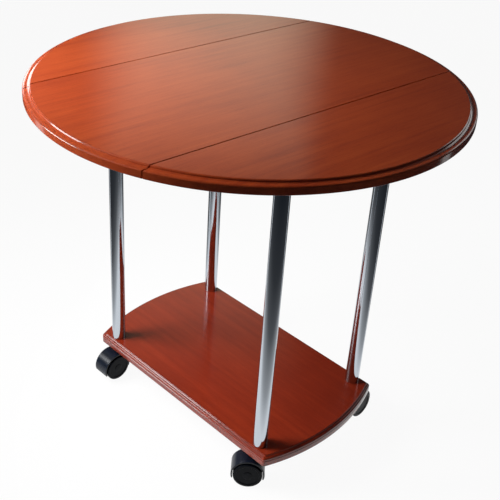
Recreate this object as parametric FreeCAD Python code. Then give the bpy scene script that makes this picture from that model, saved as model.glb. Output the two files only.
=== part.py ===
import FreeCAD, Part
import math
import os

# Round room service table: a round top in three panels turns on a central pivot over a
# rectangular base of two boards and four tube legs, and stands on four twin-wheel casters.
# Millimetres. The origin is on the floor under the pivot, +X runs along the base's long side,
# +Y across it and +Z up. Right is +X, left is -X, front is -Y and back is +Y.

# ---- driving dimensions ----------------------------------------------------------------

# round top
table_height = 770.0
top_diameter = 840.0
top_thickness = 20.0
top_turn = -4.4            # degrees that the top stands turned from square on its base
right_seam = 185.6         # pivot to the middle of the right seam
left_seam = 198.3          # pivot to the middle of the left seam
seam_gap = 2.4
top_field_inset = 15.5     # flat field ends this far inside the rim
top_bead_width = 3.5       # eased bead round the field
top_bead_drop = 3.3
top_crest_inset = 4.0      # the moulding's slope ends in an eased crest
top_crest_drop = 5.2
top_band_drop = 9.3        # upright band starts this far below the top surface

# lower shelf
shelf_thickness = 25.0
shelf_bow = 33.5           # the short ends swell outwards by this much at their middle
shelf_end_margin = 33.5    # leg centre to the shelf's corner, along X
shelf_side_margin = 23.0   # leg centre to the shelf's long side
shelf_field_inset = 8.0
shelf_band_drop = 4.8

# carrier board under the top
carrier_thickness = 18.0
carrier_inset = 4.0        # smaller than the shelf's outline all round

# legs
leg_diameter = 30.0
leg_wall = 1.5
leg_spacing_x = 455.0
leg_spacing_y = 292.0
leg_end_plate = 6.0        # welded across the tube's upper end

# central pivot
pivot_bolt_diameter = 12.0
pivot_head_across_flats = 19.0
pivot_head_height = 6.0
pivot_pocket_diameter = 24.0
pivot_plate_size = 130.0
pivot_plate_thickness = 3.0
thrust_pad_size = 100.0
thrust_pad_thickness = 2.0
corner_clip = 12.0         # cut off the corners of the plates and the pad
locknut_across_flats = 19.0
locknut_height = 11.0
pivot_bolt_end = 2.0       # bolt end that shows below the locknut

# glide strips between the carrier board and the leaves
glide_width = 14.0
glide_length = 190.0
glide_x = 230.0

# leaf hinges under the seams
hinge_length = 64.0
hinge_plate_width = 30.0   # pin to the plate's free edge
hinge_plate_thickness = 1.8
hinge_barrel_diameter = 6.6
hinge_pin_diameter = 3.2

# casters
wheel_diameter = 60.0
wheel_width = 17.2
axle_diameter = 8.0        # stub moulded on each wheel, turning in the web
hood_web = 10.0            # upright web between the two wheels
hood_width = 39.0
hood_thickness = 2.6
hood_rise = 0.8            # the outside is struck from a higher centre, so the tips thin out
hood_tip_drop = 10.0       # tips end this far below the axle
hood_web_margin = 8.0      # web reaches this far beyond the stem's and the axle's centre lines
caster_trail = 20.0        # stem to axle
stem_boss_diameter = 20.0
stem_boss_rise = 6.6       # boss stands this far above the hood
pintle_diameter = 7.0
pintle_length = 27.0
stem_collar_across_flats = 17.0
stem_collar_height = 4.0
stem_diameter = 10.0
stem_plug_length = 30.0    # plug inside the leg

# where each caster trails its wheels, as the direction from stem to axle in degrees
caster_headings = {"front_left": -90.0, "front_right": 222.0, "back_right": 90.0, "back_left": 35.0}

# clearances
running_clearance = 0.05   # radial, for a shaft that turns in its hole
seat_clearance = 0.05      # radial, for a plug or screw that is driven home
hole_clearance = 0.2       # radial, round a screw or bolt that passes through
rest_gap = 0.3             # between faces that slide over each other
wheel_side_gap = 0.5
wheel_hood_gap = 2.2       # radial, between wheel and hood
carrier_hinge_gap = 6.0    # plan gap between the carrier's corner circle and a hinge

# ---- sizes that follow -----------------------------------------------------------------

top_radius = top_diameter / 2
top_underside = table_height - top_thickness
carrier_top = top_underside - 2 * pivot_plate_thickness - thrust_pad_thickness
carrier_underside = carrier_top - carrier_thickness
locknut_top = carrier_underside - rest_gap
locknut_low = locknut_top - locknut_height

wheel_radius = wheel_diameter / 2
hood_inner_radius = wheel_radius + wheel_hood_gap
hood_outer_radius = hood_inner_radius + hood_thickness
stem_boss_top = wheel_radius + hood_outer_radius + hood_rise + stem_boss_rise
stem_collar_low = stem_boss_top + rest_gap
shelf_underside = stem_collar_low + stem_collar_height
shelf_top = shelf_underside + shelf_thickness

leg_bore_radius = leg_diameter / 2 - leg_wall
stem_plug_across_flats = (leg_bore_radius - seat_clearance) * math.sqrt(3)  # corners reach the bore
corner_x = leg_spacing_x / 2 + shelf_end_margin
half_width = leg_spacing_y / 2 + shelf_side_margin
bow_radius = (half_width ** 2 + shelf_bow ** 2) / (2 * shelf_bow)
bow_centre = corner_x + shelf_bow - bow_radius
carrier_corner_radius = math.hypot(corner_x, half_width) - carrier_inset

hinge_axis_height = top_underside - hinge_barrel_diameter / 2
hinge_inner_end = math.sqrt(
    (carrier_corner_radius + carrier_hinge_gap) ** 2 - min(right_seam, left_seam) ** 2)
hinge_middle = hinge_inner_end + hinge_length / 2

leg_places = {
    "front_left": (-leg_spacing_x / 2, -leg_spacing_y / 2),
    "front_right": (leg_spacing_x / 2, -leg_spacing_y / 2),
    "back_right": (leg_spacing_x / 2, leg_spacing_y / 2),
    "back_left": (-leg_spacing_x / 2, leg_spacing_y / 2),
}

origin = FreeCAD.Vector(0, 0, 0)
y_axis = FreeCAD.Vector(0, 1, 0)
z_axis = FreeCAD.Vector(0, 0, 1)


# ---- small helpers ---------------------------------------------------------------------

def point(x, y, z=0.0):
    return FreeCAD.Vector(x, y, z)


def cylinder(radius, low, high, x=0.0, y=0.0):
    """An upright cylinder between two heights."""
    return Part.makeCylinder(radius, high - low, point(x, y, low), z_axis)


def cross_cylinder(radius, front, back, x, z):
    """A level cylinder along Y."""
    return Part.makeCylinder(radius, back - front, point(x, front, z), y_axis)


def block(x0, x1, y0, y1, z0, z1):
    return Part.makeBox(x1 - x0, y1 - y0, z1 - z0, point(x0, y0, z0))


def arc(start, middle, end):
    return Part.Arc(start, middle, end).toShape()


def section(corners):
    """A closed face through plane points in order; a middle and an end point together make an arc."""
    edges = []
    start = corners[0]
    for corner in corners[1:] + corners[:1]:
        if isinstance(corner, tuple):
            middle, end = corner
            edges.append(arc(start, middle, end))
        else:
            end = corner
            edges.append(Part.LineSegment(start, end).toShape())
        start = end
    return Part.Face(Part.Wire(edges))


def hexagon(across_flats, low, high):
    radius = across_flats / math.sqrt(3)
    corners = [point(radius * math.cos(math.radians(60 * i)),
                     radius * math.sin(math.radians(60 * i)), low) for i in range(6)]
    return section(corners).extrude(point(0, 0, high - low))


def moved(shape, x=0.0, y=0.0, z=0.0, turn=0.0):
    """A copy turned about the vertical through its own origin, then shifted."""
    copy = shape.copy()
    copy.rotate(origin, z_axis, turn)
    copy.translate(point(x, y, z))
    return copy


def on_top(shape):
    """Turns a shape with the round top."""
    return moved(shape, turn=top_turn)


def save(node, solids):
    shape = solids[0] if len(solids) == 1 else Part.makeCompound(solids)
    shape.exportStep("parts/" + node + ".step")


# ---- boards of the base ----------------------------------------------------------------

def board_outline(inset, height):
    """Straight long sides and bowed short ends, drawn in by the inset all round."""
    y = half_width - inset
    radius = bow_radius - inset
    x = bow_centre + math.sqrt(radius ** 2 - y ** 2)
    tip = bow_centre + radius
    return section([
        point(-x, y, height),
        (point(-tip, 0, height), point(-x, -y, height)),
        point(x, -y, height),
        (point(tip, 0, height), point(x, y, height)),
    ])


def between(lower, upper):
    """The solid between two outlines at their own heights."""
    return Part.makeLoft([lower.OuterWire, upper.OuterWire], True, True)


def lower_shelf():
    """A thick board with an upright band and a sloped moulding above it."""
    band_high = shelf_top - shelf_band_drop
    band = between(board_outline(0, shelf_underside), board_outline(0, band_high))
    moulding = between(board_outline(0, band_high), board_outline(shelf_field_inset, shelf_top))
    board = band.fuse(moulding).removeSplitter()
    for x, y in leg_places.values():
        board = board.cut(cylinder(stem_diameter / 2 + hole_clearance, shelf_underside, shelf_top, x, y))
    return board


def carrier_board():
    """A plain board across the leg tops, in which the pivot bolt turns."""
    lower = board_outline(carrier_inset, carrier_underside)
    upper = board_outline(carrier_inset, carrier_top)
    bore = cylinder(pivot_bolt_diameter / 2 + running_clearance, carrier_underside, carrier_top)
    return between(lower, upper).cut(bore)


# ---- legs ------------------------------------------------------------------------------

def leg_tube(x, y):
    """A tube closed by an end plate where it is fixed to the carrier board."""
    tube = cylinder(leg_diameter / 2, shelf_top, carrier_underside, x, y)
    return tube.cut(cylinder(leg_bore_radius, shelf_top, carrier_underside - leg_end_plate, x, y))


# ---- pivot and glides ------------------------------------------------------------------

def square_sheet(size, low, thickness, bore_radius):
    """A square plate or pad with clipped corners, bored for the pivot bolt."""
    half = size / 2
    sheet = block(-half, half, -half, half, low, low + thickness)
    upright = [edge for edge in sheet.Edges if edge.BoundBox.ZLength > thickness / 2]
    return sheet.makeChamfer(corner_clip, upright).cut(cylinder(bore_radius, low, low + thickness))


def pivot_bolt():
    """Its head is sunk in the panel on top of the pivot plate, and its shank reaches the locknut."""
    shank = cylinder(pivot_bolt_diameter / 2, locknut_low - pivot_bolt_end, top_underside)
    head = hexagon(pivot_head_across_flats, top_underside, top_underside + pivot_head_height)
    return shank.fuse(head).removeSplitter()


def locknut():
    nut = hexagon(locknut_across_flats, locknut_low, locknut_top)
    return nut.cut(cylinder(pivot_bolt_diameter / 2 + seat_clearance, locknut_low, locknut_top))


def glide_strip(side):
    """A nylon strip that carries a leaf's inner edge and lets it slide over the carrier board."""
    middle = side * glide_x
    return block(middle - glide_width / 2, middle + glide_width / 2, -glide_length / 2, glide_length / 2,
                 carrier_top, top_underside - rest_gap)


# ---- round top -------------------------------------------------------------------------

def top_disc():
    """The whole round top: a flat field, its bead, a sloped moulding with a crest, and a band."""
    field_radius = top_radius - top_field_inset
    return section([
        point(0, 0, table_height),
        point(field_radius, 0, table_height),
        point(field_radius + top_bead_width, 0, table_height - top_bead_drop),
        point(top_radius - top_crest_inset, 0, table_height - top_crest_drop),
        point(top_radius, 0, table_height - top_band_drop),
        point(top_radius, 0, top_underside),
        point(0, 0, top_underside),
    ]).revolve(origin, z_axis, 360)


def strip(disc, left, right):
    """The part of the disc between two upright planes across it."""
    return disc.common(block(left, right, -top_diameter, top_diameter, 0, 2 * table_height))


def centre_panel(disc):
    panel = strip(disc, -left_seam + seam_gap / 2, right_seam - seam_gap / 2)
    pocket_top = top_underside + pivot_head_height + hole_clearance
    return panel.cut(cylinder(pivot_pocket_diameter / 2, top_underside, pocket_top))


# ---- hinges ----------------------------------------------------------------------------

# A hinge is built at the origin with its axis along Y. Its panel plate carries a knuckle with a
# riveted pin in the half towards -Y, and its leaf plate a bored knuckle in the other half.

def hinge_plate(side, start, end):
    """A plate towards one side, with a knuckle from start to end along the axis."""
    radius = hinge_barrel_diameter / 2
    half = hinge_length / 2
    low = radius - hinge_plate_thickness
    foot = side * (radius + rest_gap)
    edge = side * hinge_plate_width
    plate = block(min(foot, edge), max(foot, edge), -half, half, low, radius)
    neck = block(min(0, foot), max(0, foot), start, end, low, radius)
    return plate.fuse([neck, cross_cylinder(radius, start, end, 0, 0)]).removeSplitter()


def hinge_panel_plate(side):
    half = hinge_length / 2
    pin = cross_cylinder(hinge_pin_diameter / 2, -half / 2, half, 0, 0)
    return hinge_plate(side, -half, -rest_gap / 2).fuse(pin)


def hinge_leaf_plate(side):
    half = hinge_length / 2
    bore = cross_cylinder(hinge_pin_diameter / 2 + running_clearance, -half, half, 0, 0)
    return hinge_plate(side, rest_gap / 2, half).cut(bore)


def at_hinges(plate, side, seam):
    """A seam's two hinges on the turned top, head to head so that the leaf can't slide off."""
    front = moved(plate(side), seam, -hinge_middle, hinge_axis_height)
    back = moved(plate(-side), seam, hinge_middle, hinge_axis_height, turn=180)
    return [on_top(front), on_top(back)]


# ---- casters ---------------------------------------------------------------------------
# Each caster is built with its stem on the origin's vertical and its axle along Y at the trail.

def wheel(side):
    """One nylon wheel with the stub that it turns on, which reaches to the middle of the web."""
    inner = hood_web / 2 + wheel_side_gap
    tread = cross_cylinder(wheel_radius, inner, inner + wheel_width, 0, 0)
    stub = cross_cylinder(axle_diameter / 2, rest_gap / 2, inner, 0, 0)
    turned = tread.fuse(stub).removeSplitter()
    return moved(turned, caster_trail, 0, wheel_radius, turn=0 if side > 0 else 180)


def caster_hood():
    """A moulded hood arched over both wheels, with a web that holds them and a boss for the stem."""
    half = hood_width / 2
    left = caster_trail - 2 * hood_outer_radius
    right = caster_trail + 2 * hood_outer_radius
    outside = cross_cylinder(hood_outer_radius, -half, half, caster_trail, wheel_radius + hood_rise)
    inside = cross_cylinder(hood_inner_radius, -half, half, caster_trail, wheel_radius)
    below_tips = block(left, right, -half, half, -hood_outer_radius, wheel_radius - hood_tip_drop)
    canopy = outside.cut([inside, below_tips])

    web_edge = cross_cylinder(hood_inner_radius + hood_thickness / 2, -hood_web / 2, hood_web / 2,
                              caster_trail, wheel_radius)
    web = block(-hood_web_margin, caster_trail + hood_web_margin, -hood_web / 2, hood_web / 2,
                wheel_radius - hood_web_margin, stem_boss_top).common(web_edge)

    boss_foot = wheel_radius + math.sqrt(hood_inner_radius ** 2 - caster_trail ** 2)
    stem_boss = cylinder(stem_boss_diameter / 2, boss_foot, stem_boss_top).cut(inside)

    bore = cylinder(pintle_diameter / 2 + running_clearance, stem_boss_top - pintle_length - rest_gap,
                    stem_boss_top)
    axle_bore = cross_cylinder(axle_diameter / 2 + running_clearance, -hood_web, hood_web,
                               caster_trail, wheel_radius)
    return canopy.fuse([web, stem_boss]).removeSplitter().cut([bore, axle_bore])


def caster_stem(x, y):
    """A pintle for the hood, a collar under the shelf and a plug that is driven into the leg."""
    pintle = cylinder(pintle_diameter / 2, stem_boss_top - pintle_length, stem_collar_low)
    collar = hexagon(stem_collar_across_flats, stem_collar_low, shelf_underside)
    shank = cylinder(stem_diameter / 2, shelf_underside, shelf_top)
    plug = hexagon(stem_plug_across_flats, shelf_top, shelf_top + stem_plug_length)
    return moved(pintle.fuse([collar, shank, plug]).removeSplitter(), x, y)


# ---- the whole table -------------------------------------------------------------------

os.makedirs("parts", exist_ok=True)
legs = list(leg_places.values())

save("lower_shelf", [lower_shelf()])
save("carrier_board", [carrier_board()])
for corner, (x, y) in leg_places.items():
    save("leg_tube_" + corner, [leg_tube(x, y)])
save("glide_strips", [glide_strip(-1), glide_strip(1)])

loose_bore = pivot_bolt_diameter / 2 + hole_clearance
tight_bore = pivot_bolt_diameter / 2 + seat_clearance
pivot_plate_low = top_underside - pivot_plate_thickness
save("carrier_plate", [square_sheet(pivot_plate_size, carrier_top, pivot_plate_thickness, loose_bore)])
save("thrust_pad", [square_sheet(thrust_pad_size, carrier_top + pivot_plate_thickness,
                                 thrust_pad_thickness, loose_bore)])
save("pivot_plate", [on_top(square_sheet(pivot_plate_size, pivot_plate_low,
                                         pivot_plate_thickness, tight_bore))])
save("pivot_bolt", [on_top(pivot_bolt())])
save("pivot_locknut", [on_top(locknut())])

disc = top_disc()
save("centre_panel", [on_top(centre_panel(disc))])
save("leaf_right", [on_top(strip(disc, right_seam + seam_gap / 2, top_diameter))])
save("leaf_left", [on_top(strip(disc, -top_diameter, -left_seam - seam_gap / 2))])

save("hinge_panel_plates",
     at_hinges(hinge_panel_plate, -1, right_seam) + at_hinges(hinge_panel_plate, 1, -left_seam))
save("hinge_leaf_plates_right", at_hinges(hinge_leaf_plate, 1, right_seam))
save("hinge_leaf_plates_left", at_hinges(hinge_leaf_plate, -1, -left_seam))

save("caster_stems", [caster_stem(x, y) for x, y in legs])
hood = caster_hood()
for corner, (x, y) in leg_places.items():
    heading = caster_headings[corner]
    save("caster_hood_" + corner, [moved(hood, x, y, turn=heading)])
    save("caster_wheel_1_" + corner, [moved(wheel(-1), x, y, turn=heading)])
    save("caster_wheel_2_" + corner, [moved(wheel(1), x, y, turn=heading)])
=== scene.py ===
import math

import bmesh
import bpy
from mathutils import Matrix, Vector


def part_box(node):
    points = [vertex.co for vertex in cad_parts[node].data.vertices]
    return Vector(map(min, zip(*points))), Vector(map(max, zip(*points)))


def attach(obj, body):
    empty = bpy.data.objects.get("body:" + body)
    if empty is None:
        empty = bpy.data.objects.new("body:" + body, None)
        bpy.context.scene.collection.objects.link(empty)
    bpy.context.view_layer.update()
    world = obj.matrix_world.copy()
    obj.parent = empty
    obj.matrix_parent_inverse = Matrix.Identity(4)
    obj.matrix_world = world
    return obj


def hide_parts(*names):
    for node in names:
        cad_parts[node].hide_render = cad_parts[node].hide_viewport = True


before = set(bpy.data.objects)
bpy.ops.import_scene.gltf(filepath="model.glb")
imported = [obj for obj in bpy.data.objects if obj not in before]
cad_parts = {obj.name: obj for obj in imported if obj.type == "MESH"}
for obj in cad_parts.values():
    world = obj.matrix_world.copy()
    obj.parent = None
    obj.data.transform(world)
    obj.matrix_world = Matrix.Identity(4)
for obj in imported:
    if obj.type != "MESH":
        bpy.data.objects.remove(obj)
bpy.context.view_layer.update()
print("frame loaded,", len(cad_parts), "nodes")

mm = 0.001
weld = 1e-6      # points closer than this are one point
slack = 1e-5     # slack where edges are picked by radius or place
corners = ("front_left", "front_right", "back_right", "back_left")


# the camera stands at the viewing angle of the photograph

camera = {
    "place": (1.053337, -1.121535, 1.361456),
    "turn": (60.32603, -2.62878, 45.96636),
    "lens": 62.30595,
    "sensorWidth": 36,
    "shift": (0.0494256, -0.0827489),
}

cameraData = bpy.data.cameras.new("camera")
cameraData.lens = camera["lens"]
cameraData.sensor_width = camera["sensorWidth"]
cameraData.shift_x, cameraData.shift_y = camera["shift"]
cameraObject = bpy.data.objects.new("camera", cameraData)
cameraObject.location = camera["place"]
cameraObject.rotation_euler = [math.radians(a) for a in camera["turn"]]
bpy.context.collection.objects.link(cameraObject)
bpy.context.scene.camera = cameraObject


# colours and nodes

def linear(hexText):
    # sRGB hex to the linear colour that shaders and lamps take
    channels = [int(hexText[i:i + 2], 16) / 255 for i in (0, 2, 4)]
    return tuple(c / 12.92 if c <= 0.04045 else ((c + 0.055) / 1.055) ** 2.4
                 for c in channels) + (1.0,)


def addNode(tree, kind, settings=None, links=None):
    # adds one node: settings name sockets or the node's own values, links name sockets
    node = tree.nodes.new(kind)
    for name, value in (settings or {}).items():
        if name == "stops":
            ramp = node.color_ramp
            while len(ramp.elements) < len(value):
                ramp.elements.new(0.5)
            for element, (place, colour) in zip(ramp.elements, value):
                element.position = place
                element.color = linear(colour)
        elif isinstance(name, int) or name in node.inputs:
            node.inputs[name].default_value = value
        else:
            setattr(node, name, value)
    for name, source in (links or {}).items():
        tree.links.new(source, node.inputs[name])
    return node


def newMaterial(name):
    material = bpy.data.materials.new(name)
    material.use_nodes = True
    material.node_tree.nodes.clear()
    return material, material.node_tree


def closeMaterial(tree, shader):
    addNode(tree, "ShaderNodeOutputMaterial", links={"Surface": shader.outputs[0]})


# beech veneer, stained and lacquered, on the round top and the lower shelf

veneer = {
    "topStain": [(0.28, "8C3216"), (0.50, "A03F1A"), (0.74, "AE4A20")],
    "shadedShelfStain": [(0.28, "701F0D"), (0.50, "812711"), (0.74, "913016")],   # darker than the top's stain: painted shade for the shade the round top casts on the shelf
    "fibreTones": [(0.35, "E2CDC2"), (0.60, "FFFFFF")],
    "poreTones": [(0.27, "7A5246"), (0.36, "FFFFFF")],
    "streak": (13 * mm, 420 * mm),    # width and length of the figure
    "fibre": (1.3 * mm, 45 * mm),
    "pore": (0.5 * mm, 7 * mm),       # real pores are 0.2 mm wide, drawn coarser so that they show
    "cloud": 190 * mm,
    "cloudShare": 0.45,
    "grainShare": 0.55,
    "grainRelief": {"Strength": 0.10, "Distance": 0.05 * mm},
    "orangePeel": 3.5 * mm,
    "peelRelief": {"Strength": 0.03, "Distance": 0.04 * mm},
    "baseRoughness": 0.45,
    "baseSpecular": 0.08,
    "coatRoughness": 0.12,
    "lacquerIor": 1.5,
}


def lacqueredVeneer(name, grainTurn, shift, stainAndShade, gloss=1.0):
    # beech veneer stained red-brown and sprayed with gloss lacquer: even colour, faint long
    # streaks, and a clear coat that mirrors softly over the matt wood
    v = veneer
    material, tree = newMaterial(name)
    place = addNode(tree, "ShaderNodeTexCoord").outputs["Object"]

    def along(size):
        width, length = size
        return addNode(tree, "ShaderNodeMapping", {
            "vector_type": "TEXTURE", "Location": shift, "Rotation": (0, 0, grainTurn),
            "Scale": (width, length, width)}, {"Vector": place}).outputs[0]

    streaks = addNode(tree, "ShaderNodeTexNoise", {
        "Scale": 1.0, "Detail": 4.0, "Roughness": 0.5, "Distortion": 0.25},
        {"Vector": along(v["streak"])})
    clouds = addNode(tree, "ShaderNodeTexNoise", {"Scale": 1 / v["cloud"], "Detail": 2.0},
                     {"Vector": place})
    tone = addNode(tree, "ShaderNodeMix", {"data_type": "FLOAT", 0: v["cloudShare"]},
                   {2: streaks.outputs[0], 3: clouds.outputs[0]})
    stained = addNode(tree, "ShaderNodeValToRGB", {"stops": stainAndShade}, {"Fac": tone.outputs[0]})
    fibres = addNode(tree, "ShaderNodeTexNoise", {"Scale": 1.0, "Detail": 3.0},
                     {"Vector": along(v["fibre"])})
    fibreTone = addNode(tree, "ShaderNodeValToRGB", {"stops": v["fibreTones"]},
                        {"Fac": fibres.outputs[0]})
    pores = addNode(tree, "ShaderNodeTexNoise", {"Scale": 1.0, "Detail": 1.0},
                    {"Vector": along(v["pore"])})
    poreTone = addNode(tree, "ShaderNodeValToRGB", {"stops": v["poreTones"]},
                       {"Fac": pores.outputs[0]})
    wood = stained.outputs[0]
    for grain in (fibreTone, poreTone):
        wood = addNode(tree, "ShaderNodeMix", {
            "data_type": "RGBA", "blend_type": "MULTIPLY", 0: v["grainShare"]},
            {6: wood, 7: grain.outputs[0]}).outputs[2]
    grainBump = addNode(tree, "ShaderNodeBump", v["grainRelief"], {"Height": pores.outputs[0]})
    peel = addNode(tree, "ShaderNodeTexNoise", {"Scale": 1 / v["orangePeel"], "Detail": 1.0},
                   {"Vector": place})
    coatBump = addNode(tree, "ShaderNodeBump", v["peelRelief"], {"Height": peel.outputs[0]})
    shader = addNode(tree, "ShaderNodeBsdfPrincipled", {
        "Roughness": v["baseRoughness"], "IOR": v["lacquerIor"],
        "Specular IOR Level": v["baseSpecular"], "Coat Weight": 1.0,
        "Coat Roughness": v["coatRoughness"] / gloss, "Coat IOR": v["lacquerIor"]}, {
        "Base Color": wood, "Normal": grainBump.outputs[0], "Coat Normal": coatBump.outputs[0]})
    closeMaterial(tree, shader)
    return material


# chrome on the leg tubes

chromePlate = {
    "colour": "C2C9D1",
    "drawLine": (0.6 * mm, 0.6 * mm, 180 * mm),
    "polish": {"To Min": 0.04, "To Max": 0.13},
}


def polishedChrome():
    # decorative chrome plate on drawn steel tube: mirror bright, with faint lines along the draw
    material, tree = newMaterial("chromePlatedTube")
    place = addNode(tree, "ShaderNodeTexCoord").outputs["Object"]
    drawLines = addNode(tree, "ShaderNodeMapping", {
        "vector_type": "TEXTURE", "Scale": chromePlate["drawLine"]}, {"Vector": place})
    lines = addNode(tree, "ShaderNodeTexNoise", {"Scale": 1.0, "Detail": 2.0},
                    {"Vector": drawLines.outputs[0]})
    polish = addNode(tree, "ShaderNodeMapRange", chromePlate["polish"],
                     {"Value": lines.outputs[0]})
    shader = addNode(tree, "ShaderNodeBsdfPrincipled", {
        "Base Color": linear(chromePlate["colour"]), "Metallic": 1.0},
        {"Roughness": polish.outputs[0]})
    closeMaterial(tree, shader)
    return material


# zinc on the plates, hinges, stems, bolt and nut

zincCoat = {
    "tones": [(0.3, "9C9EA2"), (0.7, "BBBDC0")],
    "mottle": 2.5 * mm,
    "polish": {"To Min": 0.24, "To Max": 0.42},
}


def zincPlate():
    # bright zinc on pressed steel: pale grey, softly mottled by the plating bath
    material, tree = newMaterial("zincPlatedSteel")
    place = addNode(tree, "ShaderNodeTexCoord").outputs["Object"]
    mottle = addNode(tree, "ShaderNodeTexNoise", {"Scale": 1 / zincCoat["mottle"], "Detail": 3.0},
                     {"Vector": place})
    tone = addNode(tree, "ShaderNodeValToRGB", {"stops": zincCoat["tones"]},
                   {"Fac": mottle.outputs[0]})
    polish = addNode(tree, "ShaderNodeMapRange", zincCoat["polish"], {"Value": mottle.outputs[0]})
    shader = addNode(tree, "ShaderNodeBsdfPrincipled", {"Metallic": 1.0},
                     {"Base Color": tone.outputs[0], "Roughness": polish.outputs[0]})
    closeMaterial(tree, shader)
    return material


# nylon on the casters, the thrust pad, the glide strips and in the locknut

nylon = {
    "grain": 0.7 * mm,
    "relief": {"Strength": 0.25, "Distance": 0.03 * mm},
    "ior": 1.53,
}


def mouldedNylon(name, dark, pale, roughness, shine):
    # injection-moulded nylon: a fine spark-eroded texture breaks up its shine
    material, tree = newMaterial(name)
    place = addNode(tree, "ShaderNodeTexCoord").outputs["Object"]
    speckle = addNode(tree, "ShaderNodeTexNoise", {"Scale": 1 / nylon["grain"], "Detail": 2.0},
                      {"Vector": place})
    tone = addNode(tree, "ShaderNodeValToRGB", {"stops": [(0.3, dark), (0.7, pale)]},
                   {"Fac": speckle.outputs[0]})
    relief = addNode(tree, "ShaderNodeBump", nylon["relief"], {"Height": speckle.outputs[0]})
    shader = addNode(tree, "ShaderNodeBsdfPrincipled", {
        "Roughness": roughness, "IOR": nylon["ior"], "Specular IOR Level": shine},
        {"Base Color": tone.outputs[0], "Normal": relief.outputs[0]})
    closeMaterial(tree, shader)
    return material


# stain on the carrier board

fibreboard = {
    "tones": [(0.35, "4A2013"), (0.7, "5F2C1B")],
    "fleck": 1.6 * mm,
    "relief": {"Strength": 0.3, "Distance": 0.05 * mm},
    "roughness": 0.62,
}


def stainedBoard():
    # fibreboard with a thin dark stain: matt, faintly speckled by the fibres
    material, tree = newMaterial("stainedFibreboard")
    place = addNode(tree, "ShaderNodeTexCoord").outputs["Object"]
    flecks = addNode(tree, "ShaderNodeTexNoise", {"Scale": 1 / fibreboard["fleck"], "Detail": 4.0},
                     {"Vector": place})
    tone = addNode(tree, "ShaderNodeValToRGB", {"stops": fibreboard["tones"]},
                   {"Fac": flecks.outputs[0]})
    relief = addNode(tree, "ShaderNodeBump", fibreboard["relief"], {"Height": flecks.outputs[0]})
    shader = addNode(tree, "ShaderNodeBsdfPrincipled", {"Roughness": fibreboard["roughness"]},
                     {"Base Color": tone.outputs[0], "Normal": relief.outputs[0]})
    closeMaterial(tree, shader)
    return material


# each board has its own stretch of veneer: a shift of the grain, in metres

topTurn = math.radians(-4.4)          # the top stands this far from square on its base
shelfGrain = math.radians(90)
centreVeneer = lacqueredVeneer("lacqueredVeneerCentre", topTurn, (0.31, 0.12, 0.0),
                               veneer["topStain"])
rightVeneer = lacqueredVeneer("lacqueredVeneerRight", topTurn, (-0.47, 0.55, 0.0),
                              veneer["topStain"])
leftVeneer = lacqueredVeneer("lacqueredVeneerLeft", topTurn, (0.83, -0.36, 0.0),
                             veneer["topStain"])
# the shelf's darker stain is painted shade, for the shade under the round top
shelfVeneer = lacqueredVeneer("lacqueredVeneerShelf", shelfGrain, (0.15, 0.71, 0.0),
                              veneer["shadedShelfStain"], gloss=0.8)
chrome = polishedChrome()
zinc = zincPlate()
# the hood's blue cast is painted sheen: a bluish reflection painted into the black nylon's colour
sheenTintedHoodNylon = mouldedNylon("blackNylonHood", "090E18", "111927", roughness=0.30, shine=0.25)
wheelNylon = mouldedNylon("blackNylonWheel", "05080D", "0A0E16", roughness=0.34, shine=0.08)
whiteNylon = mouldedNylon("whiteNylon", "D8D6CE", "E6E4DD", roughness=0.45, shine=0.4)
board = stainedBoard()
print("materials made")


# mesh helpers

sharpAngle = math.radians(35)         # sharper edges stay crisp in the shading


def finishPiece(bm, name, body, material, nodes=()):
    # welds, points the faces outwards, shades smooth between sharp edges and hangs the
    # piece on its body
    bmesh.ops.remove_doubles(bm, verts=bm.verts, dist=weld)
    bmesh.ops.recalc_face_normals(bm, faces=bm.faces)
    for face in bm.faces:
        face.smooth = True
    for edge in bm.edges:
        edge.smooth = len(edge.link_faces) == 2 and edge.calc_face_angle() < sharpAngle
    mesh = bpy.data.meshes.new(name)
    bm.to_mesh(mesh)
    bm.free()
    mesh.materials.append(material)
    piece = bpy.data.objects.new(name, mesh)
    bpy.context.collection.objects.link(piece)
    # keeps wide faces flat beside rounded edges
    weighted = piece.modifiers.new("weightedNormals", "WEIGHTED_NORMAL")
    weighted.keep_sharp = True
    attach(piece, body)
    if nodes:
        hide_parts(*nodes)
    return piece


def addPart(bm, part, place=None):
    # joins a finished part to a piece's mesh, moved by a matrix
    mesh = bpy.data.meshes.new("part")
    part.to_mesh(mesh)
    part.free()
    if place is not None:
        mesh.transform(place)
    bm.from_mesh(mesh)
    bpy.data.meshes.remove(mesh)


def bevelEdges(bm, edges, offset, segments):
    bmesh.ops.bevel(bm, geom=list(edges), offset=offset, offset_type="OFFSET", segments=segments,
                    profile=0.5, affect="EDGES", clamp_overlap=True, material=-1)


def turnedShape(bm, outline, steps, centre=(0, 0, 0), axis=(0, 0, 1)):
    # spins a closed outline of points a full turn about the axis
    verts = [bm.verts.new(p) for p in outline]
    edges = [bm.edges.new((a, b)) for a, b in zip(verts, verts[1:] + verts[:1])]
    bmesh.ops.spin(bm, geom=verts + edges, cent=centre, axis=axis, angle=math.tau, steps=steps,
                   use_merge=True)
    bmesh.ops.remove_doubles(bm, verts=bm.verts, dist=weld)


def blockBetween(bm, low, high):
    # a block between two corners
    low, high = Vector(low), Vector(high)
    verts = bmesh.ops.create_cube(bm, size=1)["verts"]
    bmesh.ops.scale(bm, vec=high - low, verts=verts)
    bmesh.ops.translate(bm, vec=(low + high) / 2, verts=verts)


def ringEdges(bm, radius, height):
    # the edges of a turned shape that run round it at one radius and height
    def on(vert):
        return abs(vert.co.xy.length - radius) < slack and abs(vert.co.z - height) < slack
    return [e for e in bm.edges if on(e.verts[0]) and on(e.verts[1])]


def levelEdges(bm, height):
    return [e for e in bm.edges if all(abs(v.co.z - height) < weld for v in e.verts)]


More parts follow.
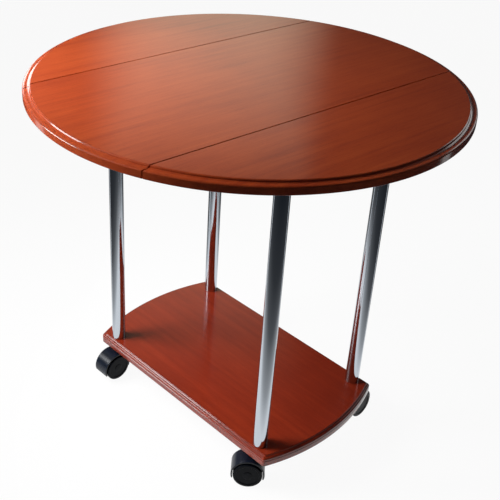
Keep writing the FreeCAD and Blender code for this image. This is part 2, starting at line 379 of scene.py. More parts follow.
def uprightEdges(bm):
    return [e for e in bm.edges if (e.verts[0].co - e.verts[1].co).xy.length < weld]


def vertsOf(geometry):
    return [g for g in geometry if isinstance(g, bmesh.types.BMVert)]


def cutAway(bm, point, normal):
    # removes what lies on the normal's side of a plane and closes the cut
    cut = bmesh.ops.bisect_plane(bm, geom=bm.verts[:] + bm.edges[:] + bm.faces[:], dist=1e-7,
                                 plane_co=point, plane_no=normal, clear_outer=True)["geom_cut"]
    edges = [g for g in cut if isinstance(g, bmesh.types.BMEdge)]
    bmesh.ops.holes_fill(bm, edges=edges, sides=0)


# round top in three panels; a round is given as its radius and its number of facets

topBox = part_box("centre_panel")
roundTop = {
    "high": topBox[1].z,
    "low": topBox[0].z,
    "radius": (topBox[1].y - topBox[0].y) / 2,
    "rightSeam": 185.6 * mm,
    "leftSeam": -198.3 * mm,
    "seamGap": 2.4 * mm,
    "crease": (12 * mm, 3.4 * mm),    # inset and depth of the crease under the bead
    "coveEnd": (5 * mm, 4.5 * mm),
    "coveSag": 0.5 * mm,
    "coveSteps": 6,
    "crestDrop": 5.4 * mm,
    "beadRound": (3.0 * mm, 5),
    "crestRound": (2.4 * mm, 6),
    "lowerRound": (1.5 * mm, 3),
    "seamRound": (0.4 * mm, 2),
    "steps": 320,
}


def topDisc():
    t = roundTop
    creaseInset, creaseDepth = t["crease"]
    endInset, endDepth = t["coveEnd"]
    crease = Vector((t["radius"] - creaseInset, 0, t["high"] - creaseDepth))
    coveEnd = Vector((t["radius"] - endInset, 0, t["high"] - endDepth))
    chord = coveEnd - crease
    inward = Vector((chord.z, 0, -chord.x)).normalized()
    cove = []
    for i in range(1, t["coveSteps"]):
        part = i / t["coveSteps"]
        cove.append(crease + chord * part + inward * t["coveSag"] * 4 * part * (1 - part))
    crestHigh = t["high"] - t["crestDrop"]
    outline = [(0, 0, t["high"]), (crease.x, 0, t["high"]), crease] + cove + [coveEnd]
    outline += [(t["radius"], 0, crestHigh), (t["radius"], 0, t["low"]), (0, 0, t["low"])]
    bm = bmesh.new()
    turnedShape(bm, outline, t["steps"])
    bevelEdges(bm, ringEdges(bm, crease.x, t["high"]), *t["beadRound"])
    bevelEdges(bm, ringEdges(bm, t["radius"], crestHigh), *t["crestRound"])
    bevelEdges(bm, ringEdges(bm, t["radius"], t["low"]), *t["lowerRound"])
    return bm


def topPanel(disc, name, body, material, node, left, right):
    # cuts the disc at its seams, eases the cut edges and turns the panel to its place
    bm = disc.copy()
    seams = [(x, side) for x, side in ((left, -1), (right, 1)) if x is not None]
    for x, side in seams:
        cutAway(bm, (x, 0, 0), (side, 0, 0))
    for x, side in seams:
        rims = [e for e in levelEdges(bm, roundTop["high"])
                if all(abs(v.co.x - x) < weld for v in e.verts)]
        bevelEdges(bm, rims, *roundTop["seamRound"])
    bmesh.ops.rotate(bm, cent=(0, 0, 0), matrix=Matrix.Rotation(topTurn, 3, "Z"), verts=bm.verts)
    return finishPiece(bm, name, body, material, (node,))


disc = topDisc()
halfGap = roundTop["seamGap"] / 2
topPanel(disc, "centrePanel", "round_top", centreVeneer, "centre_panel",
         roundTop["leftSeam"] + halfGap, roundTop["rightSeam"] - halfGap)
topPanel(disc, "rightLeaf", "right_leaf", rightVeneer, "leaf_right",
         roundTop["rightSeam"] + halfGap, None)
topPanel(disc, "leftLeaf", "left_leaf", leftVeneer, "leaf_left",
         None, roundTop["leftSeam"] - halfGap)
disc.free()
print("round top made")


# lower shelf and carrier board, on one outline

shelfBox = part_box("lower_shelf")
shelf = {
    "low": shelfBox[0].z,
    "high": shelfBox[1].z,
    "endX": shelfBox[1].x,
    "halfWidth": shelfBox[1].y,
    "bow": 33.5 * mm,
    "bowSteps": 64,
    "cornerRound": 4 * mm,
    "crease": (5.4 * mm, 2.3 * mm),   # as on the round top
    "coveEnd": (2.6 * mm, 4.2 * mm),
    "coveSag": 0.3 * mm,
    "coveSteps": 4,
    "crestDrop": 5.2 * mm,
    "grooveDrops": (10.6 * mm, 11.6 * mm, 12.4 * mm),   # its upper edge, middle and lower edge
    "grooveDepth": 1.0 * mm,
    "beadRound": (2.1 * mm, 4),
    "crestRound": (2.6 * mm, 4),
    "lowerRound": (2.0 * mm, 3),
}
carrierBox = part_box("carrier_board")
carrier = {
    "low": carrierBox[0].z,
    "high": carrierBox[1].z,
    "inset": shelfBox[1].y - carrierBox[1].y,
    "cornerRound": 3 * mm,
    "edgeRound": (1.0 * mm, 2),
}
cornerFacets = 4


def boardLoop(bm, inset, height, cornerRound):
    # straight long sides, short ends that are arcs spun about the bow's centre, and eased corners
    s = shelf
    bowRadius = (s["halfWidth"] ** 2 + s["bow"] ** 2) / (2 * s["bow"])
    bowCentre = s["endX"] - bowRadius
    y = s["halfWidth"] - inset
    radius = bowRadius - inset
    x = bowCentre + math.sqrt(radius ** 2 - y ** 2)
    sweep = 2 * math.asin(y / radius)
    ends = []
    before = set(bm.edges)
    for side in (1, -1):
        start = bm.verts.new((side * x, -side * y, height))
        arc = bmesh.ops.spin(bm, geom=[start], cent=(side * bowCentre, 0, 0), axis=(0, 0, 1),
                             angle=sweep, steps=s["bowSteps"])
        ends.append((start, vertsOf(arc["geom_last"])[0]))
    bm.edges.new((ends[0][1], ends[1][0]))
    bm.edges.new((ends[1][1], ends[0][0]))
    loop = [e for e in bm.edges if e not in before]
    bmesh.ops.contextual_create(bm, geom=loop)
    bmesh.ops.bevel(bm, geom=[v for pair in ends for v in pair], offset=cornerRound,
                    offset_type="OFFSET", segments=cornerFacets, profile=0.5, affect="VERTICES",
                    clamp_overlap=False, material=-1)
    return [e for e in bm.edges if e not in before]


def stackedBoard(sections, cornerRound):
    # bridges the board's outline from section to section, each an inset and a height
    bm = bmesh.new()
    loops = []
    for i, (inset, height) in enumerate(sections):
        loop = boardLoop(bm, inset, height, cornerRound)
        if 0 < i < len(sections) - 1:
            bmesh.ops.delete(bm, geom=[loop[0].link_faces[0]], context="FACES_ONLY")
        loops.append(loop)
    for lower, upper in zip(loops, loops[1:]):
        bmesh.ops.bridge_loops(bm, edges=lower + upper)
    return bm


def lowerShelf():
    s = shelf
    creaseInset, creaseDepth = s["crease"]
    endInset, endDepth = s["coveEnd"]
    crestHigh = s["high"] - s["crestDrop"]
    top, middle, foot = [s["high"] - drop for drop in s["grooveDrops"]]
    sections = [(0, s["low"]), (0, foot), (s["grooveDepth"], middle), (0, top),
                (0, crestHigh), (endInset, s["high"] - endDepth)]
    for i in range(1, s["coveSteps"]):
        part = i / s["coveSteps"]
        sag = s["coveSag"] * 4 * part * (1 - part)
        sections.append((endInset + (creaseInset - endInset) * part,
                         s["high"] - endDepth - (creaseDepth - endDepth) * part - sag))
    sections += [(creaseInset, s["high"] - creaseDepth), (creaseInset, s["high"])]
    bm = stackedBoard(sections, s["cornerRound"])
    bevelEdges(bm, levelEdges(bm, s["high"]), *s["beadRound"])
    bevelEdges(bm, levelEdges(bm, crestHigh), *s["crestRound"])
    bevelEdges(bm, levelEdges(bm, s["low"]), *s["lowerRound"])
    return finishPiece(bm, "lowerShelf", "base", shelfVeneer, ("lower_shelf",))


def carrierBoard():
    c = carrier
    bm = stackedBoard([(c["inset"], c["low"]), (c["inset"], c["high"])], c["cornerRound"])
    bevelEdges(bm, levelEdges(bm, c["low"]) + levelEdges(bm, c["high"]), *c["edgeRound"])
    return finishPiece(bm, "carrierBoard", "base", board, ("carrier_board",))


lowerShelf()
carrierBoard()
print("boards made")


# legs

leg = {
    "wall": 1.5 * mm,
    "endPlate": 6 * mm,
    "endRound": (0.3 * mm, 2),
    "endAngle": 1.0,                  # rounds edges whose faces turn more than this, in radians
    "steps": 96,
}


def legTube(corner):
    # an open tube with an end plate at its upper end
    node = "leg_tube_" + corner
    low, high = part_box(node)
    middle = (low + high) / 2
    radius = (high.y - low.y) / 2
    inner = radius - leg["wall"]
    plateLow = high.z - leg["endPlate"]
    outline = [(middle.x + r, middle.y, z) for r, z in (
        (radius, low.z), (radius, high.z), (0, high.z),
        (0, plateLow), (inner, plateLow), (inner, low.z))]
    bm = bmesh.new()
    turnedShape(bm, outline, leg["steps"], centre=(middle.x, middle.y, 0))
    rims = levelEdges(bm, low.z) + levelEdges(bm, high.z)
    bevelEdges(bm, [e for e in rims if e.calc_face_angle(0) > leg["endAngle"]], *leg["endRound"])
    return finishPiece(bm, "legTube_" + corner, "base", chrome, (node,))


def legPlace(corner):
    # from the middle of the floor to a leg's axis
    low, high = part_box("leg_tube_" + corner)
    return Matrix.Translation(((low.x + high.x) / 2, (low.y + high.y) / 2, 0))


for corner in corners:
    legTube(corner)
print("legs made")


# casters, each built with its stem on the vertical and its axle across Y

caster = {
    "headings": {"front_left": -90, "front_right": 222, "back_right": 90, "back_left": 35},
    "trail": 20 * mm,
    "axleHeight": 30 * mm,
    "steps": 96,
}
hood = {
    "inner": 32.2 * mm,
    "outer": 34.75 * mm,
    "rise": 0.8 * mm,                 # of the outside over the inside, so that the tips are thin
    "half": 19.45 * mm,
    "sweep": 240,
    "tipHeight": 20.05 * mm,
    "rimRound": (1.1 * mm, 3),
    "rimAngle": 1.2,                  # as on the legs
    "rimClear": 0.8 * mm,             # rims closer to the inside than this stay sharp
    "webHalf": 5 * mm,
    "webEnds": (-8 * mm, 28 * mm),
    "webLow": 22 * mm,
    "webRadius": 33.4 * mm,
    "boreRadius": 4.05 * mm,
    "bossRadius": 10 * mm,
    "bossBore": 3.55 * mm,
    "bossTop": 72.2 * mm,
    "bossDip": 4 * mm,                # how far the boss reaches down into the shell
    "bossRound": (1.2 * mm, 3),
    "bossSteps": 64,
}
wheel = {
    "radius": 29.98 * mm,
    "inner": 5.5 * mm,                # from the middle of the caster to the wheel's inner face
    "outer": 22.65 * mm,
    "innerChamfer": 1 * mm,
    "rimRound": 1.8 * mm,
    "rimFacets": 4,
    "stubRadius": 4 * mm,
    "stubEnd": 0.2 * mm,
    "dishRadius": 24 * mm,
    "dishDepth": 1.1 * mm,
    "dishSlope": 1.2 * mm,
    "capRadius": 9 * mm,
    "capSlope": 0.8 * mm,
    "capDrop": 0.4 * mm,
    "crownRadius": 4.5 * mm,
    "crownDrop": 0.1 * mm,
}
axle = Vector((caster["trail"], 0, caster["axleHeight"]))


def casterPlace(corner):
    turn = math.radians(caster["headings"][corner])
    return legPlace(corner) @ Matrix.Rotation(turn, 4, "Z")


def hoodShell():
    # a flat strip across the wheels, spun about the axle and cut level at its tips
    h = hood
    bm = bmesh.new()
    sweep = math.radians(h["sweep"])
    start = (math.pi - sweep) / 2
    towards = Vector((math.cos(start), 0, math.sin(start)))
    ends = [(h["inner"], -1), (h["outer"], -1), (h["outer"], 1), (h["inner"], 1)]
    strip = bm.faces.new([bm.verts.new(axle + towards * r + Vector((0, side * h["half"], 0)))
                          for r, side in ends])
    bmesh.ops.spin(bm, geom=[strip], cent=axle, axis=(0, -1, 0), angle=sweep,
                   steps=caster["steps"])
    bmesh.ops.recalc_face_normals(bm, faces=bm.faces)

    def reach(vert):
        return (vert.co - axle).xz.length

    outside = [v for v in bm.verts if abs(reach(v) - h["outer"]) < slack]
    bmesh.ops.translate(bm, vec=(0, 0, h["rise"]), verts=outside)
    cutAway(bm, (0, 0, h["tipHeight"]), (0, 0, -1))
    rims = [e for e in bm.edges if e.calc_face_angle(0) > h["rimAngle"]
            and all(abs(abs(v.co.y) - h["half"]) < weld
                    and reach(v) > h["inner"] + h["rimClear"] for v in e.verts)]
    bevelEdges(bm, rims, *h["rimRound"])
    return bm


def hoodWeb():
    # the wall between the wheels, bored for their stubs
    h = hood
    bm = bmesh.new()
    outline = [axle + Vector((r, y, 0)) for r, y in (
        (h["boreRadius"], -h["webHalf"]), (h["webRadius"], -h["webHalf"]),
        (h["webRadius"], h["webHalf"]), (h["boreRadius"], h["webHalf"]))]
    turnedShape(bm, outline, caster["steps"], centre=axle, axis=(0, 1, 0))
    back, front = h["webEnds"]
    cutAway(bm, (0, 0, h["webLow"]), (0, 0, -1))
    cutAway(bm, (back, 0, 0), (-1, 0, 0))
    cutAway(bm, (front, 0, 0), (1, 0, 0))
    return bm


def hoodBoss():
    # the boss round the stem
    h = hood
    foot = axle.z + math.sqrt(h["inner"] ** 2 - axle.x ** 2) - h["bossDip"]
    bm = bmesh.new()
    turnedShape(bm, [(h["bossBore"], 0, foot), (h["bossRadius"], 0, foot),
                     (h["bossRadius"], 0, h["bossTop"]), (h["bossBore"], 0, h["bossTop"])],
                h["bossSteps"])
    bevelEdges(bm, ringEdges(bm, h["bossRadius"], h["bossTop"]), *h["bossRound"])
    return bm


def casterHood(corner):
    bm = bmesh.new()
    for part in (hoodShell(), hoodWeb(), hoodBoss()):
        addPart(bm, part, casterPlace(corner))
    return finishPiece(bm, "casterHood_" + corner, "caster_" + corner, sheenTintedHoodNylon,
                       ("caster_hood_" + corner,))


def casterWheel(corner, number):
    # turned from the end of its stub out to the rim, then in over the dish and the cap
    w = wheel
    side = -1 if number == 1 else 1
    sections = [
        (0, w["stubEnd"]), (w["stubRadius"], w["stubEnd"]), (w["stubRadius"], w["inner"]),
        (w["radius"] - w["innerChamfer"], w["inner"]),
        (w["radius"], w["inner"] + w["innerChamfer"]), (w["radius"], w["outer"] - w["rimRound"])]
    for i in range(1, w["rimFacets"] + 1):
        a = math.radians(90 * i / w["rimFacets"])
        sections.append((w["radius"] - w["rimRound"] * (1 - math.cos(a)),
                         w["outer"] - w["rimRound"] * (1 - math.sin(a))))
    sections += [
        (w["dishRadius"], w["outer"]),
        (w["dishRadius"] - w["dishSlope"], w["outer"] - w["dishDepth"]),
        (w["capRadius"] + w["capSlope"], w["outer"] - w["dishDepth"]),
        (w["capRadius"], w["outer"] - w["capDrop"]),
        (w["crownRadius"], w["outer"] - w["crownDrop"]), (0, w["outer"])]
    turned = bmesh.new()
    turnedShape(turned, [axle + Vector((r, side * y, 0)) for r, y in sections], caster["steps"],
                centre=axle, axis=(0, 1, 0))
    bm = bmesh.new()
    addPart(bm, turned, casterPlace(corner))
    name = "%d_%s" % (number, corner)
    return finishPiece(bm, "casterWheel_" + name, "wheel_" + name, wheelNylon,
                       ("caster_wheel_" + name,))


for corner in corners:
    casterHood(corner)
    casterWheel(corner, 1)
    casterWheel(corner, 2)
print("casters made")


# stems between the shelf and the casters

stem = {
    "acrossFlats": 17 * mm,
    "collar": (72.5 * mm, 76.5 * mm),
    "collarRound": 0.7 * mm,
    "pintleRadius": 3.5 * mm,
    "pintleLow": 66 * mm,
    "steps": 32,
}


def hexBlock(acrossFlats, low, high, rounding):
    # a hexagonal block with its level edges eased
    radius = acrossFlats / math.sqrt(3)
    turn = Matrix.Rotation(math.radians(30), 3, "Z")
    bm = bmesh.new()
    bmesh.ops.create_cone(bm, cap_ends=True, segments=6, radius1=radius, radius2=radius,
                          depth=high - low)
    bmesh.ops.rotate(bm, cent=(0, 0, 0), matrix=turn, verts=bm.verts)
    bmesh.ops.translate(bm, vec=(0, 0, (low + high) / 2), verts=bm.verts)
    bevelEdges(bm, levelEdges(bm, low) + levelEdges(bm, high), rounding, 2)
    return bm


def casterStems():
    s = stem
    bm = bmesh.new()
    for corner in corners:
        addPart(bm, hexBlock(s["acrossFlats"], *s["collar"], s["collarRound"]), legPlace(corner))
        pintle = bmesh.new()
        turnedShape(pintle, [(0, 0, s["pintleLow"]), (s["pintleRadius"], 0, s["pintleLow"]),
                             (s["pintleRadius"], 0, s["collar"][0]), (0, 0, s["collar"][0])],
                    s["steps"])
        addPart(bm, pintle, legPlace(corner))
    return finishPiece(bm, "casterStems", "base", zinc, ("caster_stems",))


casterStems()
print("stems made")


# pivot between base and top: plates, pad, bolt and locknut

sheet = {
    "plateHalf": 65 * mm,
    "padHalf": 50 * mm,
    "cornerClip": 12 * mm,
    "edgeRound": (0.4 * mm, 2),
}
nut = {
    "acrossFlats": 19 * mm,
    "flatsRound": 0.9 * mm,
    "turn": math.radians(30),
    "collarRadius": 8.2 * mm,         # round end of the locknut that holds its nylon ring
    "collarHigh": 3.4 * mm,
    "collarOverlap": 0.5 * mm,
    "collarRound": (1.0 * mm, 3),
    "ringRadius": 6.9 * mm,
    "ringLevels": (0.4 * mm, 2.4 * mm),
    "ringClear": 0.02 * mm,
    "boltClear": 0.03 * mm,
    "steps": 64,
}
bolt = {
    "radius": 6 * mm,
    "tipInset": 1.1 * mm,
    "shoulderInset": 0.1 * mm,
    "tipHigh": 0.9 * mm,
    "threadPitch": 1.75 * mm,
    "threadDepth": 0.5 * mm,
    "threadTurns": 3,
    "hidden": 8 * mm,                 # height of the head and shank inside the top
    "steps": 64,
}


def clippedSheet(node, name, body, material, half, turn=0):
    # a square sheet with clipped corners
    low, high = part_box(node)
    bm = bmesh.new()
    blockBetween(bm, (-half, -half, low.z), (half, half, high.z))
    bmesh.ops.bevel(bm, geom=uprightEdges(bm), offset=sheet["cornerClip"], offset_type="WIDTH",
                    segments=1, profile=0.5, affect="EDGES", material=-1)
    bevelEdges(bm, levelEdges(bm, low.z) + levelEdges(bm, high.z), *sheet["edgeRound"])
    bmesh.ops.rotate(bm, cent=(0, 0, 0), matrix=Matrix.Rotation(turn, 3, "Z"), verts=bm.verts)
    return finishPiece(bm, name, body, material, (node,))


def pivotLocknut():
    low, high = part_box("pivot_locknut")
    seat = low.z + nut["collarHigh"]
    bm = bmesh.new()
    addPart(bm, hexBlock(nut["acrossFlats"], seat, high.z, nut["flatsRound"]),
            Matrix.Rotation(topTurn - nut["turn"], 4, "Z"))
    collar = bmesh.new()
    turnedShape(collar, [(nut["ringRadius"], 0, low.z), (nut["collarRadius"], 0, low.z),
                         (nut["collarRadius"], 0, seat + nut["collarOverlap"]),
                         (nut["ringRadius"], 0, seat + nut["collarOverlap"])], nut["steps"])
    bevelEdges(collar, ringEdges(collar, nut["collarRadius"], low.z), *nut["collarRound"])
    addPart(bm, collar)
    return finishPiece(bm, "pivotLocknut", "round_top", zinc, ("pivot_locknut",))


def locknutRing():
    # the nylon ring in the locknut's collar
    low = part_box("pivot_locknut")[0]
    inner, outer = bolt["radius"] + nut["boltClear"], nut["ringRadius"] - nut["ringClear"]
    foot, head = [low.z + level for level in nut["ringLevels"]]
    bm = bmesh.new()
    turnedShape(bm, [(inner, 0, foot), (outer, 0, foot), (outer, 0, head), (inner, 0, head)],
                nut["steps"])
    return finishPiece(bm, "locknutRing", "round_top", whiteNylon)


def pivotBolt():
    # its threaded end, which shows below the locknut, and its shank between the plates
    b = bolt
    low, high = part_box("pivot_bolt")
    z = low.z + b["tipHigh"]
    outline = [(0, 0, low.z), (b["radius"] - b["tipInset"], 0, low.z),
               (b["radius"] - b["shoulderInset"], 0, z)]
    for i in range(b["threadTurns"]):
        outline += [(b["radius"] - b["threadDepth"], 0, z + 0.5 * b["threadPitch"]),
                    (b["radius"], 0, z + b["threadPitch"])]
        z += b["threadPitch"]
    outline += [(b["radius"], 0, high.z - b["hidden"]), (0, 0, high.z - b["hidden"])]
    bm = bmesh.new()
    turnedShape(bm, outline, b["steps"])
    return finishPiece(bm, "pivotBolt", "round_top", zinc, ("pivot_bolt",))


clippedSheet("carrier_plate", "carrierPlate", "base", zinc, sheet["plateHalf"])
clippedSheet("thrust_pad", "thrustPad", "base", whiteNylon, sheet["padHalf"])
clippedSheet("pivot_plate", "pivotPlate", "round_top", zinc, sheet["plateHalf"],
             topTurn)
pivotLocknut()
locknutRing()
pivotBolt()
print("pivot made")


# glide strips that carry the leaves

glide = {
    "width": 14 * mm,
    "endRound": (4 * mm, 4),
    "topRound": (1.0 * mm, 3),
}


def glideStrips():
    low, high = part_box("glide_strips")
    bm = bmesh.new()
    for left, right in ((low.x, low.x + glide["width"]), (high.x - glide["width"], high.x)):
        strip = bmesh.new()
        blockBetween(strip, (left, low.y, low.z), (right, high.y, high.z))
        bevelEdges(strip, uprightEdges(strip), *glide["endRound"])
        bevelEdges(strip, levelEdges(strip, high.z), *glide["topRound"])
        addPart(bm, strip)
    return finishPiece(bm, "glideStrips", "base", whiteNylon, ("glide_strips",))


glideStrips()
print("glide strips made")


# leaf hinges, two to a seam

hinge = {
    "middle": 283.96 * mm,            # along the seam from the table's middle
    "half": 32 * mm,
    "width": 30 * mm,
    "sheet": 1.8 * mm,
    "barrel": 3.3 * mm,
    "gap": 0.3 * mm,
    "cornerRound": (6 * mm, 5),
    "plateRound": (0.35 * mm, 2),
    "neckInset": 0.02 * mm,
    "neckOverlap": 0.5 * mm,
    "neckRound": (0.2 * mm, 1),
    "knuckleSteps": 48,
    "pinRadius": 1.6 * mm,
    "pinHead": 0.4 * mm,
    "pinDome": 0.7,                   # radius of the flat on the pin's domed end, as a share
    "screwPlaces": ((12 * mm, -22 * mm), (21 * mm, 0), (12 * mm, 22 * mm)),
    "screwRadius": 3.4 * mm,
    "screwRise": 0.4 * mm,
    "recessShare": 0.8,               # depth of the screw's cross, as a share of the rise
    "screwCells": 7,                  # cells across the head; the cross is five long
}


def screwHead():
    # a low head with a cross recess that faces down from the origin's level
    h = hinge
    bm = bmesh.new()
    bmesh.ops.create_grid(bm, x_segments=h["screwCells"], y_segments=h["screwCells"],
                          size=h["screwRadius"])
    for vert in [v for v in bm.verts if v.is_boundary]:
        vert.co = vert.co.normalized() * h["screwRadius"]
    bmesh.ops.translate(bm, vec=(0, 0, -h["screwRise"]), verts=bm.verts)
    halfCell = h["screwRadius"] / h["screwCells"]

    def inCross(face):
        x, y = [abs(c) / halfCell for c in face.calc_center_median().xy]
        return min(x, y) < 0.5 and max(x, y) < 4.5

    cross = [f for f in bm.faces if inCross(f)]
    recess = bmesh.ops.extrude_face_region(bm, geom=cross)["geom"]
    bmesh.ops.delete(bm, geom=cross, context="FACES")
    bmesh.ops.translate(bm, vec=(0, 0, h["screwRise"] * h["recessShare"]), verts=vertsOf(recess))
    rim = [e for e in bm.edges if e.is_boundary]
    skirt = bmesh.ops.extrude_edge_only(bm, edges=rim)["geom"]
    bmesh.ops.translate(bm, vec=(0, 0, h["screwRise"]), verts=vertsOf(skirt))
    bmesh.ops.holes_fill(bm, edges=[e for e in bm.edges if e.is_boundary], sides=0)
    return bm


def hingePlate(low, foot):
    h = hinge
    bm = bmesh.new()
    blockBetween(bm, (foot, -h["half"], low), (h["width"], h["half"], h["barrel"]))
    outer = [e for e in uprightEdges(bm) if e.verts[0].co.x > foot + slack]
    bevelEdges(bm, outer, *h["cornerRound"])
    bevelEdges(bm, levelEdges(bm, low), *h["plateRound"])
    return bm


def hingeNeck(low, foot, start, end):
    h = hinge
    under, over = low + h["neckInset"], h["barrel"] - h["neckInset"]
    bm = bmesh.new()
    blockBetween(bm, (0, start, under), (foot + h["neckOverlap"], end, over))
    ends = [e for e in levelEdges(bm, under) if abs(e.verts[0].co.y - e.verts[1].co.y) < weld]
    bevelEdges(bm, ends, *h["neckRound"])
    return bm


def hingeKnuckle(start, end):
    # turned about the pin's axis, with the domed pin end at its outer end
    h = hinge
    outer = -1 if start < 0 else 1
    near, far = (end, start + h["pinHead"]) if outer < 0 else (start, end - h["pinHead"])
    tip = far + outer * h["pinHead"]
    bm = bmesh.new()
    turnedShape(bm, [(0, near, 0), (h["barrel"], near, 0), (h["barrel"], far, 0),
                     (h["pinRadius"], far, 0), (h["pinRadius"] * h["pinDome"], tip, 0),
                     (0, tip, 0)], h["knuckleSteps"], axis=(0, 1, 0))
    return bm


def hingeHalf(side, start, end):
    # one half round an axis along Y: a plate with three screws, a neck and a knuckle
    h = hinge
    low = h["barrel"] - h["sheet"]
    foot = h["barrel"] + h["gap"]
    parts = [hingePlate(low, foot), hingeNeck(low, foot, start, end), hingeKnuckle(start, end)]
    for x, y in h["screwPlaces"]:
        head = screwHead()
        bmesh.ops.translate(head, vec=(x, y, low), verts=head.verts)
        parts.append(head)
    bm = bmesh.new()
    for part in parts:
        addPart(bm, part)
    if side < 0:
        bmesh.ops.scale(bm, vec=(-1, 1, 1), verts=bm.verts)
    return bm


def hingePiece(name, node, body, halves):
    # halves lists the side of the plate and the seam; each seam has two hinges, head to head
    h = hinge
    bm = bmesh.new()
    onTop = Matrix.Rotation(topTurn, 4, "Z")
    reach = (-h["half"], -h["gap"] / 2) if body == "round_top" else (h["gap"] / 2, h["half"])
    for side, seam in halves:
        for turn, middle in ((0, -h["middle"]), (math.pi, h["middle"])):
            place = (onTop @ Matrix.Translation((seam, middle, roundTop["low"] - h["barrel"]))
                     @ Matrix.Rotation(turn, 4, "Z"))
            addPart(bm, hingeHalf(-side if turn else side, *reach), place)
    return finishPiece(bm, name, body, zinc, (node,))


hingePiece("hingePanelPlates", "hinge_panel_plates", "round_top",
           ((-1, roundTop["rightSeam"]), (1, roundTop["leftSeam"])))
hingePiece("hingeLeafPlatesRight", "hinge_leaf_plates_right", "right_leaf",
           ((1, roundTop["rightSeam"]),))
hingePiece("hingeLeafPlatesLeft", "hinge_leaf_plates_left", "left_leaf",
           ((-1, roundTop["leftSeam"]),))
print("hinges made")


# studio: a pale floor, soft boxes with most of their light from the left, and cards that
# only reflections see

studio = {
    "floorSize": 30,
    "floorColour": "E6E6E6",
    "floorGlow": 0.94,
    "worldLevel": 0.04,
}
softBoxes = {
    # reflections see the gleam in the middle of the key instead of the whole key
    "key": {"place": (-0.68, -0.74, 1.27), "aim": (-0.18, -0.22, 0.6), "spread": 85,
            "size": 1.0, "power": 3.0, "mirrored": False},
    "gleam": {"place": (-0.68, -0.74, 1.27), "aim": (-0.18, -0.22, 0.6), "spread": 85,
              "size": 0.6, "power": 5.4, "mirrored": True},
    "side": {"place": (-0.84, -1.00, 0.84), "aim": (-0.1, -0.1, 0.4), "spread": 180,
             "size": 0.5, "power": 11, "mirrored": True},
    "rear": {"place": (0.32, 1.50, 1.29), "aim": (0.3, 0.1, 0.75), "spread": 180,
             "size": 0.7, "power": 2.6, "mirrored": True},
    # low on the left, where only the edge of the top mirrors it
    "rim": {"place": (-1.50, 0.10, 1.04), "aim": (-0.3, -0.2, 0.75), "spread": 85,
            "size": 0.35, "power": 0.45, "mirrored": True},
}
card = {
    "colour": "1E2126",
    "sectors": [(-154, 53), (60, 196)],   # azimuths between which a card lies on the floor
    "reach": 4.0,
    "hub": 0.3,
    "lift": 1 * mm,
    "steps": 48,
    # cover against distance, as shares of the reach
    "cover": [(0.105, "000000"), (0.137, "C4C4C4"), (0.19, "F2F2F2"), (0.25, "FBFBFB"),
              (0.40, "FFFFFF")],
}
dome = {
    "colour": "22252A",
    "radius": 4.0,
    "segments": (96, 48),
    "foot": 0.5 * mm,
    "windowColour": "FFF7DC",
    "windowTurn": 137.5,              # azimuth of the window's middle, in degrees
    "windowHalf": (3, 13),            # half its width, where its edge starts to fade and ends
    "windowHigh": (28, 46),           # its top, likewise
}


def seenByMirrors(tree):
    # 1 for camera, glossy and transmission rays, 0 for the rays that light the object
    path = addNode(tree, "ShaderNodeLightPath")
    either = addNode(tree, "ShaderNodeMath", {"operation": "MAXIMUM"},
                     {0: path.outputs["Is Camera Ray"], 1: path.outputs["Is Glossy Ray"]})
    return addNode(tree, "ShaderNodeMath", {"operation": "MAXIMUM"},
                   {0: either.outputs[0], 1: path.outputs["Is Transmission Ray"]}).outputs[0]


def makeWorld():
    world = bpy.data.worlds.new("studio")
    bpy.context.scene.world = world
    world.use_nodes = True
    tree = world.node_tree
    tree.nodes.clear()
    level = addNode(tree, "ShaderNodeMapRange", {"To Min": studio["worldLevel"], "To Max": 1.0},
                    {"Value": seenByMirrors(tree)})
    light = addNode(tree, "ShaderNodeBackground", {"Color": (1, 1, 1, 1)},
                    {"Strength": level.outputs[0]})
    addNode(tree, "ShaderNodeOutputWorld", links={"Surface": light.outputs[0]})


def stagePiece(bm, name, material, mirrorsOnly):
    mesh = bpy.data.meshes.new(name)
    bm.to_mesh(mesh)
    bm.free()
    mesh.materials.append(material)
    piece = bpy.data.objects.new(name, mesh)
    if mirrorsOnly:
        for rays in ("camera", "diffuse", "transmission", "shadow"):
            setattr(piece, "visible_" + rays, False)
    bpy.context.collection.objects.link(piece)


def makeFloor():
    # matt where it takes light and shadow, and almost white to the eye and to mirrors
    material, tree = newMaterial("paintedFloor")
    share = addNode(tree, "ShaderNodeMath", {"operation": "MULTIPLY", 1: studio["floorGlow"]},
                    {0: seenByMirrors(tree)})
    matt = addNode(tree, "ShaderNodeBsdfDiffuse", {"Color": linear(studio["floorColour"])})
    glow = addNode(tree, "ShaderNodeEmission", {"Color": (1, 1, 1, 1), "Strength": 1.0})
    shader = addNode(tree, "ShaderNodeMixShader",
                     links={0: share.outputs[0], 1: matt.outputs[0], 2: glow.outputs[0]})
    closeMaterial(tree, shader)
    bm = bmesh.new()
    bmesh.ops.create_grid(bm, x_segments=1, y_segments=1, size=studio["floorSize"] / 2)
    stagePiece(bm, "floor", material, False)


def cardMaterial(name, colour, cover, behind):
    # shows what is behind where the cover is 0 and a flat dark tone where it is 1
    material, tree = newMaterial(name)
    dark = addNode(tree, "ShaderNodeEmission", {"Color": linear(colour), "Strength": 1.0})
    shader = addNode(tree, "ShaderNodeMixShader",
                     links={0: cover(tree), 1: behind(tree).outputs[0], 2: dark.outputs[0]})
    closeMaterial(tree, shader)
    return material


def floorCover(tree):
    # leaves the floor white near the table and darkens it outwards
    place = addNode(tree, "ShaderNodeTexCoord").outputs["Object"]
    distance = addNode(tree, "ShaderNodeVectorMath", {"operation": "LENGTH"}, {0: place})
    share = addNode(tree, "ShaderNodeMath", {"operation": "DIVIDE", 1: card["reach"]},
                    {0: distance.outputs["Value"]})
    return addNode(tree, "ShaderNodeValToRGB", {"stops": card["cover"]},
                   {"Fac": share.outputs[0]}).outputs[0]


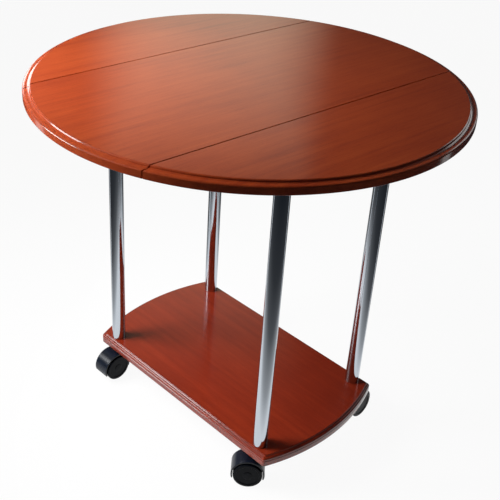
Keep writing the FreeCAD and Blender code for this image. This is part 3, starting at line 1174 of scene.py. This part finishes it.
def domeCover(tree):
    # covers all but a low soft window behind the table
    place = addNode(tree, "ShaderNodeTexCoord").outputs["Object"]
    towards = addNode(tree, "ShaderNodeVectorMath", {"operation": "NORMALIZE"}, {0: place})
    rise = addNode(tree, "ShaderNodeSeparateXYZ", links={0: towards.outputs[0]})
    onFloor = addNode(tree, "ShaderNodeVectorMath", {"operation": "MULTIPLY", 1: (1, 1, 0)},
                      {0: place})
    bearing = addNode(tree, "ShaderNodeVectorMath", {"operation": "NORMALIZE"},
                      {0: onFloor.outputs[0]})
    turn = math.radians(dome["windowTurn"])
    facing = addNode(tree, "ShaderNodeVectorMath", {
        "operation": "DOT_PRODUCT", 1: (math.cos(turn), math.sin(turn), 0)},
        {0: bearing.outputs[0]})
    inner, outer = [math.cos(math.radians(a)) for a in dome["windowHalf"]]
    low, high = [math.sin(math.radians(a)) for a in dome["windowHigh"]]
    beside = addNode(tree, "ShaderNodeMapRange", {
        "interpolation_type": "SMOOTHSTEP", "From Min": outer, "From Max": inner,
        "To Min": 1.0, "To Max": 0.0}, {"Value": facing.outputs["Value"]})
    above = addNode(tree, "ShaderNodeMapRange", {
        "interpolation_type": "SMOOTHSTEP", "From Min": low, "From Max": high},
        {"Value": rise.outputs["Z"]})
    return addNode(tree, "ShaderNodeMath", {"operation": "MAXIMUM"},
                   {0: beside.outputs[0], 1: above.outputs[0]}).outputs[0]


def nothingBehind(tree):
    return addNode(tree, "ShaderNodeBsdfTransparent")


def paleWall(tree):
    return addNode(tree, "ShaderNodeEmission", {
        "Color": linear(dome["windowColour"]), "Strength": 1.0})


def makeCards():
    # rings of dark card on the floor, in sectors
    material = cardMaterial("greyCard", card["colour"], floorCover, nothingBehind)
    for i, (start, end) in enumerate(card["sectors"]):
        bm = bmesh.new()
        turn = Matrix.Rotation(math.radians(start), 3, "Z")
        inner = bm.verts.new(turn @ Vector((card["hub"], 0, card["lift"])))
        outer = bm.verts.new(turn @ Vector((card["reach"], 0, card["lift"])))
        edge = bm.edges.new((inner, outer))
        bmesh.ops.spin(bm, geom=[inner, outer, edge], cent=(0, 0, 0), axis=(0, 0, 1),
                       angle=math.radians(end - start), steps=card["steps"])
        stagePiece(bm, "greyCard%d" % i, material, True)


def makeDome():
    # a dark half sphere round the studio, open below
    around, upwards = dome["segments"]
    bm = bmesh.new()
    bmesh.ops.create_uvsphere(bm, u_segments=around, v_segments=upwards, radius=dome["radius"])
    cutAway(bm, (0, 0, dome["foot"]), (0, 0, -1))
    below = [f for f in bm.faces if all(v.co.z < 2 * dome["foot"] for v in f.verts)]
    bmesh.ops.delete(bm, geom=below, context="FACES_ONLY")
    material = cardMaterial("darkDome", dome["colour"], domeCover, paleWall)
    stagePiece(bm, "darkDome", material, True)


def softBox(name, settings):
    place, aim = Vector(settings["place"]), Vector(settings["aim"])
    lamp = bpy.data.lights.new(name, "AREA")
    lamp.shape = "SQUARE"
    lamp.size = settings["size"]
    lamp.energy = settings["power"]
    lamp.spread = math.radians(settings["spread"])
    box = bpy.data.objects.new(name, lamp)
    box.visible_glossy = settings["mirrored"]
    box.location = place
    box.rotation_euler = (aim - place).to_track_quat("-Z", "Y").to_euler()
    bpy.context.collection.objects.link(box)


makeWorld()
makeFloor()
makeCards()
makeDome()
for name, settings in softBoxes.items():
    softBox(name, settings)
bpy.context.scene.view_settings.view_transform = "Standard"
print("studio made")
